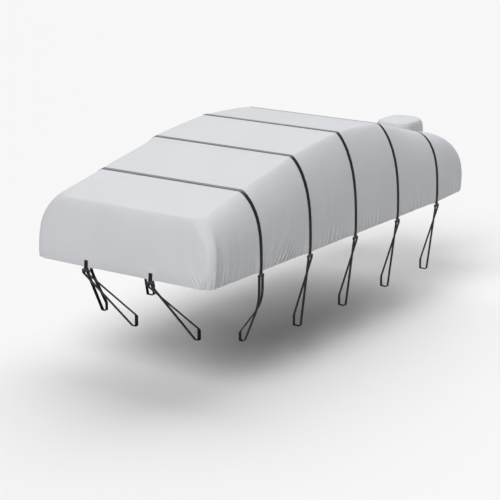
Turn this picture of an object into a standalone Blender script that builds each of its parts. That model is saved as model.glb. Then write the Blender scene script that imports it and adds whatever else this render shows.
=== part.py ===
"""Fitted cover set for a pontoon boat: the boat cover with its straps and tie-downs, and the motor hood.

Metres, +X aft, +Y to starboard, +Z up. Shapes are written in hem coordinates, with x aft of the
bow hem, y from the centreline and z above the plane of the hem. One empty, hem_plane, carries
them all, so that the origin lies under the crest of the cover's top, where the boat holds it up.
"""

import math
from collections import namedtuple

import bmesh
import bpy
from mathutils import Vector

# Boat cover: coated polyester, its hem turned up and stitched.
LENGTH = 5.72
HALF_WIDTH = 1.25
SHEET = 0.0025
HEM_DRAW_IN = 0.006
HEM_TURN = 0.07
CREST_X = 3.15
BOW_ZONE = 0.90
STERN_ZONE = 0.80

# Cross sections of the boat cover: height of the flat top, how far the wall leans in between
# the hem and the top edge, how late it does so, and how round the shoulder is.
Section = namedtuple("Section", "x top lean power shoulder")
SECTIONS = (
    Section(0.20, 0.722, 0.270, 3.6, 1.25),
    Section(0.45, 0.778, 0.280, 3.6, 1.30),
    Section(0.95, 0.886, 0.283, 3.6, 1.30),
    Section(1.93, 1.099, 0.283, 3.4, 1.30),
    Section(2.92, 1.208, 0.290, 3.1, 1.30),
    Section(3.40, 1.204, 0.297, 3.1, 1.30),
    Section(3.90, 1.149, 0.310, 3.1, 1.35),
    Section(4.88, 0.891, 0.358, 3.4, 2.00),
    Section(5.12, 0.832, 0.370, 3.4, 2.00),
)

# End walls: lean, power and shoulder as above, with the plan radius of their corners at the
# hem and at the top.
EndWall = namedtuple("EndWall", "lean power shoulder hem_radius top_radius")
BOW = EndWall(0.200, 2.6, 1.20, 0.13, 0.19)
STERN = EndWall(0.600, 3.2, 1.50, 0.26, 0.17)

# Gathers above the side hem, between the bow corner and the second strap: place aft of the
# bow, depth of the trough and how far up it reaches.
Gather = namedtuple("Gather", "x depth reach")
GATHERS = (
    Gather(0.20, 0.011, 0.26),
    Gather(0.31, 0.008, 0.20),
    Gather(0.41, 0.010, 0.30),
    Gather(0.53, 0.007, 0.18),
    Gather(0.66, 0.009, 0.24),
    Gather(0.80, 0.006, 0.16),
    Gather(1.08, 0.007, 0.20),
    Gather(1.24, 0.010, 0.34),
    Gather(1.38, 0.008, 0.26),
    Gather(1.55, 0.009, 0.32),
    Gather(1.74, 0.006, 0.18),
)
GATHERS_START = 0.09
GATHERS_END = 1.90

# Grid lines of the cover: heights up the walls, lines along the bow and stern corners, and lines
# across it as fractions of the half width.
LEVELS = (0.0, 0.08, 0.17, 0.29, 0.43, 0.57, 0.70, 0.81, 0.90, 0.96, 1.0)
CROSS_LINES = (0.22, 0.60, 0.80, 0.90, 0.955, 1.0)
CORNER_COLUMNS = (0.0, 0.05, 0.11)
STERN_COLUMNS = (5.10, 5.26, 5.42, 5.55, 5.65, 5.72)
BAY_LINES = 2

# Webbing: two inches wide, over the top at five stations and on two bow tabs.
WEBBING_WIDTH = 0.048
WEBBING = 0.002
CLEARANCE = 0.0005
STRAP_COUNT = 5
FIRST_STRAP_X = 0.949
STRAP_PITCH = 0.983
TAB_Y = 0.453
TAB_HEIGHT = 0.094

# Buckle under the hem: a flat plate, narrow where the strap enters and wide where two legs leave.
BUCKLE_HEIGHT = 0.050
BUCKLE_THICKNESS = 0.008
BUCKLE_NECK = 0.056
BUCKLE_WIDTH = 0.112
BUCKLE_SHOULDER = 0.018
LEG_SPACING = 0.062

# Tie-downs: one webbing loop each, from the buckle round a trailer beam and back. The drop is
# the height of the straight fall before the loop turns in under the hull.
Loop = namedtuple("Loop", "drop near far beam_top beam_bottom")
LEG_END_RUN = 0.012
BEND_RADIUS = 0.012
FALL_RADIUS = 0.16
BEND_STEPS = 3
SIDE_LOOPS = (
    Loop(0.28, 1.025, 0.965, -0.735, -0.835),
    Loop(0.00, 1.125, 1.032, -0.780, -0.900),
    Loop(0.00, 1.125, 1.032, -0.780, -0.900),
    Loop(0.00, 1.125, 1.032, -0.780, -0.900),
    Loop(0.00, 1.125, 1.032, -0.780, -0.900),
)
BOW_LOOP = Loop(0.00, 0.812, 0.870, -0.780, -0.900)

# Motor hood: a soft box with a domed crown and a drawn-in hem, behind the stern.
HOOD_X = 5.78
HOOD_LENGTH = 0.57
HOOD_HALF_WIDTH = 0.235
HOOD_HEM_Z = 0.30
HOOD_EDGE_Z = 0.752
HOOD_DOME = 0.062
HOOD_CROWN = 2.6
HOOD_WALL = EndWall(0.038, 8.0, 2.00, 0.120, 0.110)
HOOD_LEVELS = (0.0, 0.14, 0.40, 0.66, 0.82, 0.92, 0.98, 1.0)
HOOD_LINES = (-1.0, -0.82, -0.60, -0.22, 0.22, 0.60, 0.82, 1.0)
HOOD_HEM_DRAW_IN = 0.018

SIDES = (("port", -1), ("starboard", 1))


def clear_scene():
    for old in list(bpy.data.objects):
        bpy.data.objects.remove(old, do_unlink=True)


def make_material(name, colour, roughness):
    material = bpy.data.materials.new(name)
    material.use_nodes = True
    shader = material.node_tree.nodes["Principled BSDF"]
    shader.inputs["Base Color"].default_value = (*colour, 1.0)
    shader.inputs["Roughness"].default_value = roughness
    shader.inputs["Metallic"].default_value = 0.0
    return material


def smooth_through(rows, column, x):
    """Value at x of a smooth curve through one column of a table, its slopes taken from the rows."""
    places = [row.x for row in rows]
    values = [getattr(row, column) for row in rows]
    x = min(max(x, places[0]), places[-1])
    last = len(rows) - 2
    i = min(sum(place <= x for place in places) - 1, last)

    def slope(k):
        low = max(k - 1, 0)
        high = min(k + 1, last + 1)
        return (values[high] - values[low]) / (places[high] - places[low])

    span = places[i + 1] - places[i]
    t = (x - places[i]) / span
    start = values[i] * (1 + 2 * t) * (1 - t) ** 2 + slope(i) * span * t * (1 - t) ** 2
    end = values[i + 1] * t * t * (3 - 2 * t) - slope(i + 1) * span * t * t * (1 - t)
    return start + end


def lean_in(wall, f):
    """Distance that a wall has leaned in at fraction f of its height."""
    return wall.lean * (1 - (1 - f ** wall.power) ** (1 / wall.shoulder))


def corner_radius(wall, f):
    return wall.hem_radius + (wall.top_radius - wall.hem_radius) * f


def round_corner(along, across, radius):
    """Move a point of a square corner onto a round one; both are distances in from the walls."""
    p = 1 - along / radius
    q = 1 - across / radius
    if p <= 0 or q <= 0:
        return along, across
    return (1 - p * math.sqrt(1 - q * q / 2)) * radius, (1 - q * math.sqrt(1 - p * p / 2)) * radius


def top_place(u):
    """Where the column that stands u aft of the bow hem meets the top edge."""
    bow_part = max(0.0, 1 - u / BOW_ZONE)
    stern_part = max(0.0, 1 - (LENGTH - u) / STERN_ZONE)
    return u + BOW.lean * bow_part - STERN.lean * stern_part


def strap_stations():
    return [FIRST_STRAP_X + STRAP_PITCH * i for i in range(STRAP_COUNT)]


def strap_edges(x):
    return [x - WEBBING_WIDTH / 2, x + WEBBING_WIDTH / 2]


def section_at(x):
    """Cross section at x; a strap holds the cloth to one shape across its whole width."""
    strap = min(strap_stations(), key=lambda station: abs(station - x))
    shape_x = strap if abs(strap - x) < WEBBING_WIDTH else x
    shape = [smooth_through(SECTIONS, name, shape_x) for name in Section._fields[2:]]
    return Section(x, smooth_through(SECTIONS, "top", x), *shape)


def gather_depth(x, height):
    """How far the gathers draw the side wall in, at a place and height."""
    depth = 0.0
    for i, gather in enumerate(GATHERS):
        before = GATHERS[i - 1].x if i else GATHERS_START
        after = GATHERS[i + 1].x if i + 1 < len(GATHERS) else GATHERS_END
        half = (gather.x - before if x < gather.x else after - gather.x) / 2
        side = abs(x - gather.x) / half
        if side < 1 and height < gather.reach:
            depth += gather.depth * (1 + math.cos(math.pi * side)) / 2 * (1 - height / gather.reach)
    return depth


def plan_place(u, v, f, wall_y):
    """Place aft and distance in from the side wall, in the cover's plan at one height."""
    bow_x = lean_in(BOW, f)
    stern_in = lean_in(STERN, f)
    x = u + bow_x * max(0.0, 1 - u / BOW_ZONE) - stern_in * max(0.0, 1 - (LENGTH - u) / STERN_ZONE)
    inward = wall_y * (1 - abs(v))
    aft, inward = round_corner(x - bow_x, inward, corner_radius(BOW, f))
    between = LENGTH - stern_in - bow_x
    fore, inward = round_corner(between - aft, inward, corner_radius(STERN, f))
    return bow_x + between - fore, inward


def cover_point(u, v, f):
    """Outer face of the boat cover: u aft of the bow hem, v across from -1 to 1, f up the wall."""
    section = section_at(top_place(u))
    crown_x, _ = plan_place(u, v, 1.0, HALF_WIDTH - section.lean)
    height = f * smooth_through(SECTIONS, "top", crown_x)
    wall_y = HALF_WIDTH - lean_in(section, f) - HEM_DRAW_IN * max(0.0, 1 - height / HEM_TURN)
    x, inward = plan_place(u, v, f, wall_y)
    draw = gather_depth(u, height) if abs(v) == 1 else 0.0
    return Vector((x, math.copysign(wall_y - inward - draw, v), height))


def hood_point(u, v, f):
    """Outer face of the motor hood, with u and v across its plan from -1 to 1."""
    lean = lean_in(HOOD_WALL, f) + HOOD_HEM_DRAW_IN * max(0.0, 1 - f / HOOD_LEVELS[1])
    half_length = HOOD_LENGTH / 2 - lean
    half_width = HOOD_HALF_WIDTH - lean
    in_x, in_y = round_corner(
        half_length * (1 - abs(u)), half_width * (1 - abs(v)), corner_radius(HOOD_WALL, f)
    )
    dome = HOOD_DOME * (1 - abs(u) ** HOOD_CROWN) * (1 - abs(v) ** HOOD_CROWN) if f == 1 else 0.0
    return Vector((
        HOOD_X + HOOD_LENGTH / 2 + math.copysign(half_length - in_x, u),
        math.copysign(half_width - in_y, v),
        HOOD_HEM_Z + (HOOD_EDGE_Z - HOOD_HEM_Z) * f + dome,
    ))


def cover_columns():
    """Grid lines along the cover: corners, crest, gathers and their ridges, straps and bays."""
    stations = strap_stations()
    columns = [*CORNER_COLUMNS, CREST_X, *STERN_COLUMNS]
    for x in stations:
        columns += strap_edges(x)
    for fore, aft in zip(GATHERS, GATHERS[1:]):
        columns.append(fore.x)
        if not any(fore.x < x < aft.x for x in stations):
            columns.append((fore.x + aft.x) / 2)
    columns.append(GATHERS[-1].x)
    for fore, aft in zip(stations[1:], stations[2:]):
        step = (aft - fore) / (BAY_LINES + 1)
        columns += [fore + step * (i + 1) for i in range(BAY_LINES)]
    return sorted(columns)


def cover_lines():
    """Grid lines across the cover, as fractions of the half width."""
    half = [*CROSS_LINES, *(y / HALF_WIDTH for y in strap_edges(TAB_Y))]
    return sorted([-v for v in half] + half)


def open_box(name, columns, lines, levels, place):
    """Cloth over the four walls and the top of a box: a grid, its rim drawn down level by level."""
    bm = bmesh.new()
    bmesh.ops.create_grid(bm, x_segments=len(columns) - 1, y_segments=len(lines) - 1, size=0.5)
    for vert in bm.verts:
        i = round((vert.co.x + 0.5) * (len(columns) - 1))
        j = round((vert.co.y + 0.5) * (len(lines) - 1))
        vert.co = (columns[i], lines[j], 1.0)
    rim = [edge for edge in bm.edges if edge.is_boundary]
    for level in reversed(levels[:-1]):
        drawn = bmesh.ops.extrude_edge_only(bm, edges=rim)["geom"]
        for vert in (item for item in drawn if isinstance(item, bmesh.types.BMVert)):
            vert.co.z = level
        rim = [item for item in drawn if isinstance(item, bmesh.types.BMEdge) and item.is_boundary]
    for vert in bm.verts:
        vert.co = place(*vert.co)
    bmesh.ops.recalc_face_normals(bm, faces=bm.faces)
    mesh = bpy.data.meshes.new(name)
    bm.to_mesh(mesh)
    bm.free()
    mesh.shade_smooth()
    return mesh


def add_object(name, mesh, material, parent):
    mesh.materials.append(material)
    item = bpy.data.objects.new(name, mesh)
    item.parent = parent
    bpy.context.collection.objects.link(item)
    return item


def give_thickness(item):
    solidify = item.modifiers.new("cloth", "SOLIDIFY")
    solidify.thickness = SHEET
    solidify.offset = -1.0
    solidify.use_even_offset = True
    solidify.use_quality_normals = True


def sweep(name, sections):
    """Closed solid through a row of four-cornered sections."""
    bm = bmesh.new()
    rings = [[bm.verts.new(corner) for corner in section] for section in sections]
    for ring, after in zip(rings, rings[1:]):
        for i in range(4):
            j = (i + 1) % 4
            bm.faces.new((ring[i], ring[j], after[j], after[i]))
    bm.faces.new(reversed(rings[0]))
    bm.faces.new(rings[-1])
    bmesh.ops.recalc_face_normals(bm, faces=bm.faces)
    mesh = bpy.data.meshes.new(name)
    bm.to_mesh(mesh)
    bm.free()
    return mesh


def pushed_out(line, distance):
    """A line of points in a plane across the boat, moved outwards by a distance all along."""
    moved = []
    for i, point in enumerate(line):
        before = point - line[max(i - 1, 0)]
        after = line[min(i + 1, len(line) - 1)] - point
        arms = [arm.normalized() for arm in (before, after) if arm.length > 0]
        normals = [Vector((0.0, -arm.z, arm.y)) for arm in arms]
        mean = sum(normals, Vector()).normalized()
        moved.append(point + mean * distance / mean.dot(normals[0]))
    return moved


def over_strap_mesh(name, x):
    """Webbing that lies on the cover from one hem over the top to the other."""
    climb = [(-1, f) for f in LEVELS]
    fall = [(1, f) for f in reversed(LEVELS)]
    lines = []
    for edge in strap_edges(x):
        face = [cover_point(edge, v, f) for v, f in climb + fall]
        lines.append(pushed_out(face, CLEARANCE))
        lines.append(pushed_out(face, CLEARANCE + WEBBING))
    fore_in, fore_out, aft_in, aft_out = lines
    return sweep(name, zip(fore_in, fore_out, aft_out, aft_in))


def bow_tab_mesh(name, y):
    """Short webbing tab on the bow wall, down to the hem."""
    top = section_at(top_place(0.0)).top
    rows = []
    for f in (0.0, *(level for level in LEVELS[1:] if level * top < TAB_HEIGHT), TAB_HEIGHT / top):
        face = lean_in(BOW, f) - CLEARANCE
        fore, aft = face - WEBBING, face
        low, high = strap_edges(y)
        z = f * top
        rows.append(((fore, low, z), (fore, high, z), (aft, high, z), (aft, low, z)))
    return sweep(name, rows)


def buckle_mesh(name):
    """Flat buckle plate hanging from its top edge, its width along x."""
    half_neck = BUCKLE_NECK / 2
    half_width = BUCKLE_WIDTH / 2
    low = -BUCKLE_SHOULDER
    outline = (
        (-half_neck, 0.0), (-half_width, low), (-half_width, -BUCKLE_HEIGHT),
        (half_width, -BUCKLE_HEIGHT), (half_width, low), (half_neck, 0.0),
    )
    bm = bmesh.new()
    face = bm.faces.new([bm.verts.new((x, -BUCKLE_THICKNESS / 2, z)) for x, z in outline])
    grown = bmesh.ops.extrude_face_region(bm, geom=[face])["geom"]
    for vert in (item for item in grown if isinstance(item, bmesh.types.BMVert)):
        vert.co.y = BUCKLE_THICKNESS / 2
    bmesh.ops.recalc_face_normals(bm, faces=bm.faces)
    mesh = bpy.data.meshes.new(name)
    bm.to_mesh(mesh)
    bm.free()
    return mesh


def rounded_route(points, radii):
    """Route through points, each inner one cut off by a short bend of the given radius."""
    route = [points[0]]
    for before, point, after, radius in zip(points, points[1:], points[2:], radii):
        arrive = (before - point).normalized()
        leave = (after - point).normalized()
        start = point + arrive * radius
        end = point + leave * radius
        for step in range(BEND_STEPS + 1):
            t = step / BEND_STEPS
            route.append(start * (1 - t) ** 2 + point * 2 * t * (1 - t) + end * t * t)
    route.append(points[-1])
    return route


def webbing_sections(route, broad):
    """Webbing sections along a route, flat side square to it and width along a broad direction."""
    sections = []
    for i, point in enumerate(route):
        along = (route[min(i + 1, len(route) - 1)] - route[max(i - 1, 0)]).normalized()
        wide = (broad - along * broad.dot(along)).normalized() * WEBBING_WIDTH / 2
        deep = along.cross(wide).normalized() * WEBBING / 2
        sections.append((
            point - wide - deep, point + wide - deep, point + wide + deep, point - wide + deep
        ))
    return sections


def loop_route(loop, start, place):
    """Both legs and the foot of a tie-down; place(side, reach, z) gives a point of the loop."""
    low = start - LEG_END_RUN
    turn = low - loop.drop
    half = LEG_SPACING / 2
    outer = [place(-half, None, start), place(-half, None, low)]
    inner = [place(half, None, low), place(half, None, start)]
    radii = [BEND_RADIUS]
    if loop.drop:
        outer.append(place(-half, None, turn))
        inner.insert(0, place(half, None, turn))
        radii.append(FALL_RADIUS)
    foot = [
        place(0.0, loop.near, loop.beam_bottom),
        place(0.0, loop.far, loop.beam_bottom),
        place(0.0, loop.far, loop.beam_top),
    ]
    return rounded_route(outer + foot + inner, radii + [BEND_RADIUS] * 3 + radii[::-1])


def build_boat_cover(root, cloth):
    mesh = open_box("boat_cover", cover_columns(), cover_lines(), LEVELS, cover_point)
    give_thickness(add_object("boat_cover", mesh, cloth, root))


def build_motor_hood(root, cloth):
    mesh = open_box("motor_hood", HOOD_LINES, HOOD_LINES, HOOD_LEVELS, hood_point)
    give_thickness(add_object("motor_hood", mesh, cloth, root))


def build_side_straps(root, webbing, plastic):
    """Over-straps, and on both sides of each a buckle and a tie-down loop."""
    face_y = HALF_WIDTH - HEM_DRAW_IN + CLEARANCE + WEBBING / 2
    start = -BUCKLE_HEIGHT - 2 * CLEARANCE
    for number, (x, loop) in enumerate(zip(strap_stations(), SIDE_LOOPS), 1):
        name = f"over_strap_{number}"
        add_object(name, over_strap_mesh(name, x), webbing, root)
        for side, sign in SIDES:
            name = f"hem_buckle_{side}_{number}"
            buckle = add_object(name, buckle_mesh(name), plastic, root)
            buckle.location = (x, sign * face_y, -CLEARANCE)
            name = f"tie_down_{side}_{number}"
            route = loop_route(loop, start, lambda along, reach, z: Vector((
                x + along, sign * (face_y if reach is None else reach), z
            )))
            mesh = sweep(name, webbing_sections(route, Vector((1.0, 0.0, 0.0))))
            add_object(name, mesh, webbing, root)


def build_bow_straps(root, webbing, plastic):
    """Bow tabs, each with a buckle and a tie-down loop that runs aft and down."""
    face_x = -CLEARANCE - WEBBING / 2
    start = -BUCKLE_HEIGHT - 2 * CLEARANCE
    for side, sign in SIDES:
        name = f"bow_tab_{side}"
        add_object(name, bow_tab_mesh(name, sign * TAB_Y), webbing, root)
        name = f"bow_buckle_{side}"
        buckle = add_object(name, buckle_mesh(name), plastic, root)
        buckle.location = (face_x, sign * TAB_Y, -CLEARANCE)
        buckle.rotation_euler.z = math.pi / 2
        name = f"bow_tie_down_{side}"
        route = loop_route(BOW_LOOP, start, lambda along, reach, z: Vector((
            face_x if reach is None else reach, sign * (TAB_Y - along), z
        )))
        mesh = sweep(name, webbing_sections(route, Vector((0.0, 1.0, 0.0))))
        add_object(name, mesh, webbing, root)


def main():
    clear_scene()
    cloth = make_material("light grey coated polyester", (0.62, 0.63, 0.65), 0.75)
    webbing = make_material("black webbing", (0.012, 0.012, 0.014), 0.70)
    plastic = make_material("black plastic", (0.015, 0.015, 0.016), 0.45)
    root = bpy.data.objects.new("hem_plane", None)
    bpy.context.collection.objects.link(root)
    crest = smooth_through(SECTIONS, "top", CREST_X)
    root.location = (-CREST_X, 0.0, SHEET - crest)
    build_boat_cover(root, cloth)
    build_side_straps(root, webbing, plastic)
    build_bow_straps(root, webbing, plastic)
    build_motor_hood(root, cloth)


main()
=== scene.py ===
"""Pontoon boat cover set, dressed: creased cloth, woven straps, moulded buckles and the motor hood.

Metres, +X aft, +Y to starboard, +Z up. Shapes are written in hem coordinates, with x aft of the
bow hem, y from the centreline and z above the plane of the hem; hem_plane carries each finished
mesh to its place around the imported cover.
"""

import math
from collections import namedtuple
from functools import partial

import bmesh
import bpy
from mathutils import Matrix, Vector, noise


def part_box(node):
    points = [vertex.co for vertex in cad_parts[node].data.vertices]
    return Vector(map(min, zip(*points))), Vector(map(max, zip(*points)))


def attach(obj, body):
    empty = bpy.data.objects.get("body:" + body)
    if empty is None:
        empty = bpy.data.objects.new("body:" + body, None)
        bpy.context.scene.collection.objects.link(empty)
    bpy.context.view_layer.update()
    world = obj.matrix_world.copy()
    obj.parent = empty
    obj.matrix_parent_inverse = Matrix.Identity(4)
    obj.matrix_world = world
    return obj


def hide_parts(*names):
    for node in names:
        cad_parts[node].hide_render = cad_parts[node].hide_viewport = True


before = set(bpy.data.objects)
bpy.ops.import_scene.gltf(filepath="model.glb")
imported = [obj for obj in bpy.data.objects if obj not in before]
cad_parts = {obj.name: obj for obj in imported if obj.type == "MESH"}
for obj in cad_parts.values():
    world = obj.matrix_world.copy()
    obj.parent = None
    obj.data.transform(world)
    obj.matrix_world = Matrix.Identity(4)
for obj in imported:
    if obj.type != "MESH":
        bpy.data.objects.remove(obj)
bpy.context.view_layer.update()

# Boat cover as it lies over the boat: its hem is drawn in below the turn and rises towards the
# stern corners, and the lean of its end walls is shared out over the columns of a zone.
LENGTH = 5.72
HALF_WIDTH = 1.25
CLOTH_THICKNESS = 0.0025
HEM_DRAW_IN = 0.006
HEM_TURN = 0.07
STERN_LIFT = 0.022
BOW_ZONE = 0.90
STERN_ZONE = 0.80

# Cross sections: place aft, height of the top, how far the wall leans in below it, and the powers
# that give the lean its curve up the wall and its round shoulder.
Section = namedtuple("Section", "x top lean power shoulder")
SECTIONS = (
    Section(0.20, 0.722, 0.270, 3.6, 1.25),
    Section(0.45, 0.778, 0.280, 3.6, 1.30),
    Section(0.95, 0.886, 0.283, 3.6, 1.30),
    Section(1.93, 1.099, 0.283, 3.4, 1.30),
    Section(2.92, 1.208, 0.290, 3.1, 1.30),
    Section(3.40, 1.204, 0.297, 3.1, 1.30),
    Section(3.90, 1.149, 0.310, 3.1, 1.35),
    Section(4.88, 0.891, 0.358, 3.4, 2.00),
    Section(5.12, 0.832, 0.370, 3.4, 2.00),
)

# End walls lean in the same way, the bow's on a slope that carries it further aft, and their
# corners have a plan radius at the hem and at the top. The port bow corner is drawn tight over the
# boat's corner post: more and more up to the share of the height in POST_FOOT, and less and less
# between the two in POST_HEAD.
EndWall = namedtuple("EndWall", "lean power shoulder hem_radius top_radius")
BOW = EndWall(0.068, 9.0, 2.00, 0.16, 0.15)
STERN = EndWall(0.600, 2.85, 1.50, 0.235, 0.17)
BOW_SLOPE = 0.132
BOW_SLOPE_POWER = 1.50
POST_TIGHTNESS = 0.65
POST_FOOT = 0.38
POST_HEAD = (0.50, 0.92)

# Broad gathers above the side hem, forward of the second strap: place, depth and reach up the wall.
Gather = namedtuple("Gather", "x depth reach")
GATHERS = (
    Gather(0.20, 0.011, 0.26),
    Gather(0.31, 0.008, 0.20),
    Gather(0.41, 0.010, 0.30),
    Gather(0.53, 0.007, 0.18),
    Gather(0.66, 0.009, 0.24),
    Gather(0.80, 0.006, 0.16),
    Gather(1.08, 0.007, 0.20),
    Gather(1.24, 0.010, 0.34),
    Gather(1.38, 0.008, 0.26),
    Gather(1.55, 0.009, 0.32),
    Gather(1.74, 0.006, 0.18),
)
GATHERS_START = 0.09
GATHERS_END = 1.90
GATHER_SHARE = 0.5

# Pleats drawn up from the hem: place along the wall, how far the crease leans along the wall for
# each metre of height, half width, reach up the wall and depth.
Pleat = namedtuple("Pleat", "place slant width reach depth")
SIDE_PLEATS = (
    Pleat(0.050, 0.04, 0.014, 0.15, 0.0069),
    Pleat(0.108, 0.07, 0.016, 0.18, 0.0080),
    Pleat(0.171, 0.07, 0.018, 0.24, 0.0103),
    Pleat(0.225, 0.10, 0.016, 0.27, 0.0115),
    Pleat(0.289, 0.13, 0.017, 0.22, 0.0092),
    Pleat(0.344, 0.14, 0.016, 0.19, 0.0092),
    Pleat(0.399, 0.16, 0.018, 0.16, 0.0069),
    Pleat(0.491, 0.11, 0.020, 0.12, 0.0046),
    Pleat(0.603, 0.10, 0.022, 0.13, 0.0046),
    Pleat(0.697, 0.07, 0.018, 0.15, 0.0057),
    Pleat(0.772, 0.05, 0.018, 0.12, 0.0046),
    Pleat(0.855, 0.03, 0.016, 0.14, 0.0057),
    Pleat(1.041, 0.13, 0.018, 0.17, 0.0102),
    Pleat(1.119, 0.33, 0.018, 0.15, 0.0085),
    Pleat(1.178, 0.48, 0.016, 0.13, 0.0085),
    Pleat(1.256, 0.59, 0.017, 0.17, 0.0119),
    Pleat(1.336, 0.63, 0.018, 0.21, 0.0153),
    Pleat(1.405, 0.66, 0.017, 0.25, 0.0170),
    Pleat(1.475, 0.66, 0.016, 0.23, 0.0170),
    Pleat(1.546, 0.64, 0.017, 0.21, 0.0136),
    Pleat(1.617, 0.52, 0.018, 0.16, 0.0102),
    Pleat(1.699, 0.33, 0.018, 0.13, 0.0085),
    Pleat(1.800, 0.13, 0.018, 0.12, 0.0068),
    Pleat(2.035, 0.10, 0.018, 0.12, 0.0050),
    Pleat(2.115, 0.14, 0.020, 0.14, 0.0050),
    Pleat(2.221, 0.20, 0.018, 0.16, 0.0075),
    Pleat(2.286, 0.24, 0.018, 0.20, 0.0100),
    Pleat(2.372, 0.22, 0.020, 0.28, 0.0125),
    Pleat(2.480, 0.24, 0.018, 0.20, 0.0100),
    Pleat(2.568, 0.20, 0.019, 0.16, 0.0075),
    Pleat(2.656, 0.12, 0.018, 0.13, 0.0063),
    Pleat(2.750, 0.08, 0.018, 0.12, 0.0050),
    Pleat(3.037, 0.00, 0.018, 0.17, 0.0102),
    Pleat(3.105, -0.03, 0.019, 0.22, 0.0136),
    Pleat(3.174, -0.02, 0.018, 0.23, 0.0136),
    Pleat(3.243, -0.03, 0.020, 0.24, 0.0153),
    Pleat(3.336, 0.02, 0.019, 0.19, 0.0102),
    Pleat(3.417, 0.00, 0.020, 0.21, 0.0136),
    Pleat(3.500, 0.03, 0.019, 0.16, 0.0085),
    Pleat(3.610, 0.05, 0.018, 0.12, 0.0068),
    Pleat(4.028, 0.00, 0.020, 0.13, 0.0111),
    Pleat(4.126, 0.03, 0.020, 0.11, 0.0088),
    Pleat(4.225, 0.00, 0.020, 0.13, 0.0088),
    Pleat(4.350, -0.04, 0.020, 0.18, 0.0155),
    Pleat(4.425, -0.04, 0.020, 0.22, 0.0199),
    Pleat(4.514, -0.02, 0.020, 0.19, 0.0155),
    Pleat(4.590, 0.02, 0.020, 0.15, 0.0111),
    Pleat(4.700, 0.00, 0.020, 0.12, 0.0088),
    Pleat(5.010, -0.06, 0.020, 0.12, 0.0064),
    Pleat(5.096, -0.10, 0.022, 0.15, 0.0096),
    Pleat(5.176, -0.14, 0.022, 0.19, 0.0128),
    Pleat(5.255, -0.20, 0.022, 0.21, 0.0144),
    Pleat(5.345, -0.26, 0.022, 0.19, 0.0128),
    Pleat(5.440, -0.26, 0.024, 0.17, 0.0112),
    Pleat(5.560, -0.16, 0.024, 0.15, 0.0096),
)
BOW_PLEATS = (
    Pleat(0.120, 0.05, 0.020, 0.08, 0.002),
    Pleat(0.305, -0.04, 0.018, 0.09, 0.002),
    Pleat(0.502, -0.10, 0.014, 0.12, 0.004),
    Pleat(0.557, -0.13, 0.013, 0.13, 0.005),
    Pleat(0.625, -0.13, 0.014, 0.12, 0.004),
    Pleat(0.692, -0.14, 0.014, 0.14, 0.005),
    Pleat(0.746, -0.15, 0.014, 0.11, 0.004),
    Pleat(0.830, -0.24, 0.016, 0.10, 0.003),
    Pleat(0.900, -0.36, 0.015, 0.13, 0.005),
    Pleat(0.961, -0.50, 0.015, 0.16, 0.007),
    Pleat(1.014, -0.60, 0.014, 0.19, 0.008),
    Pleat(1.067, -0.62, 0.014, 0.20, 0.009),
    Pleat(1.120, -0.55, 0.014, 0.19, 0.009),
    Pleat(1.172, -0.40, 0.014, 0.18, 0.008),
    Pleat(1.222, -0.16, 0.013, 0.16, 0.007),
)

# Long soft folds higher up the walls, each from one place and height to another; a positive rise
# is a ridge, a negative one a trough.
Fold = namedtuple("Fold", "place height end_place end_height width rise")
SIDE_FOLDS = (
    Fold(0.078, 0.08, 0.088, 0.48, 0.041, 0.021),
    Fold(0.240, 0.08, 0.190, 0.50, 0.050, -0.004),
    Fold(0.345, 0.10, 0.330, 0.44, 0.045, 0.006),
    Fold(0.560, 0.10, 0.525, 0.58, 0.036, -0.004),
    Fold(0.640, 0.18, 0.610, 0.46, 0.035, 0.002),
    Fold(1.150, 0.16, 1.330, 0.39, 0.032, 0.007),
    Fold(1.235, 0.28, 1.495, 0.50, 0.034, -0.008),
    Fold(1.330, 0.18, 1.560, 0.40, 0.032, 0.007),
    Fold(1.110, 0.30, 1.240, 0.52, 0.040, -0.005),
    Fold(2.377, 0.44, 2.370, 0.76, 0.026, -0.005),
    Fold(2.514, 0.14, 2.508, 0.36, 0.026, -0.005),
    Fold(2.250, 0.24, 2.262, 0.50, 0.034, 0.004),
    Fold(3.190, 0.22, 3.180, 0.46, 0.034, -0.004),
    Fold(3.370, 0.20, 3.385, 0.40, 0.034, 0.003),
    Fold(4.330, 0.20, 4.305, 0.42, 0.034, -0.004),
    Fold(4.480, 0.20, 4.470, 0.38, 0.032, 0.003),
    Fold(5.300, 0.18, 5.230, 0.42, 0.050, -0.007),
    Fold(5.450, 0.14, 5.390, 0.34, 0.045, 0.005),
)
BOW_FOLDS = (
    Fold(0.180, 0.10, 0.150, 0.42, 0.070, -0.004),
    Fold(0.560, 0.12, 0.520, 0.40, 0.060, 0.004),
    Fold(0.800, 0.10, 0.740, 0.46, 0.060, -0.005),
    Fold(1.060, 0.12, 0.980, 0.50, 0.050, -0.006),
)

# A pleat is a trough between two ridges: part of it is there at the hem's edge, the rest comes in
# with height, and all of it dies out up the wall. A fold fades over a share of its length at both
# ends. Neither moves the cloth more than CREASE_SPREAD widths away.
RIDGE_SHARE = 0.45
PLEAT_GAIN = 1.5
PLEAT_AT_HEM = 0.55
PLEAT_ABOVE_HEM = 0.45
PLEAT_FULL_HEIGHT = 0.04
PLEAT_FADE = 0.7
FOLD_FADE = 0.25
CREASE_SPREAD = 3

# Widths of the pleats on the two sides; the starboard creases are also moved along and shallower.
PORT_CREASE = 1.15
STARBOARD_CREASE = 1.30
STARBOARD_SHIFT = 0.031
STARBOARD_EASE = 0.80

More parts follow.
